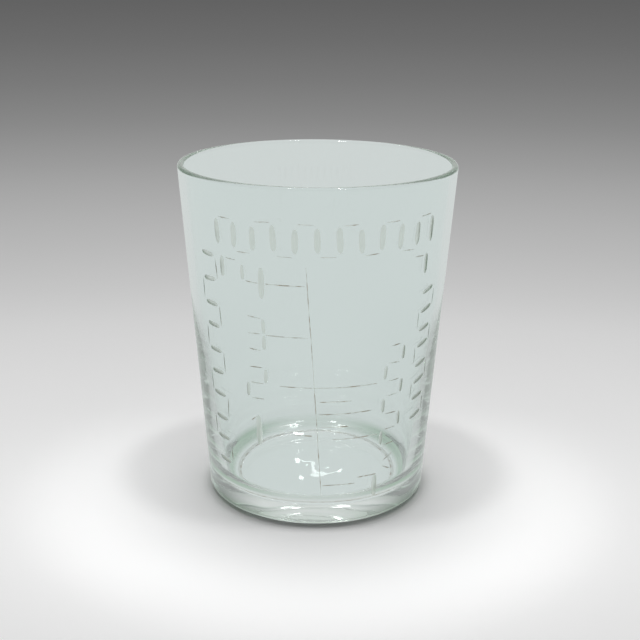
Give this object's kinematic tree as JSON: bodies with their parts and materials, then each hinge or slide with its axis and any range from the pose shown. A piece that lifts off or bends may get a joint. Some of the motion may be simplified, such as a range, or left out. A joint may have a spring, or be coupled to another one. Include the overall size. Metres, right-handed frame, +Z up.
{
  "type": "measuring tumbler",
  "caption": "Tapering clear glass beaker-shaped tumbler with a thick base, wheel-cut graduation lines, numerals and a cut border below the rim.",
  "frame": {"origin": "centre of the flat ring that the glass stands on", "axes": "+Z up the axis of the glass towards the rim; the engraved front faces -Y"},
  "size_m": [0.0509, 0.051, 0.0635],
  "materials": {
    "clear_glass": "polished, faint green tint"
  },
  "bodies": {
    "root": {"glass_cup": "clear_glass"}
  },
  "joints": []
}
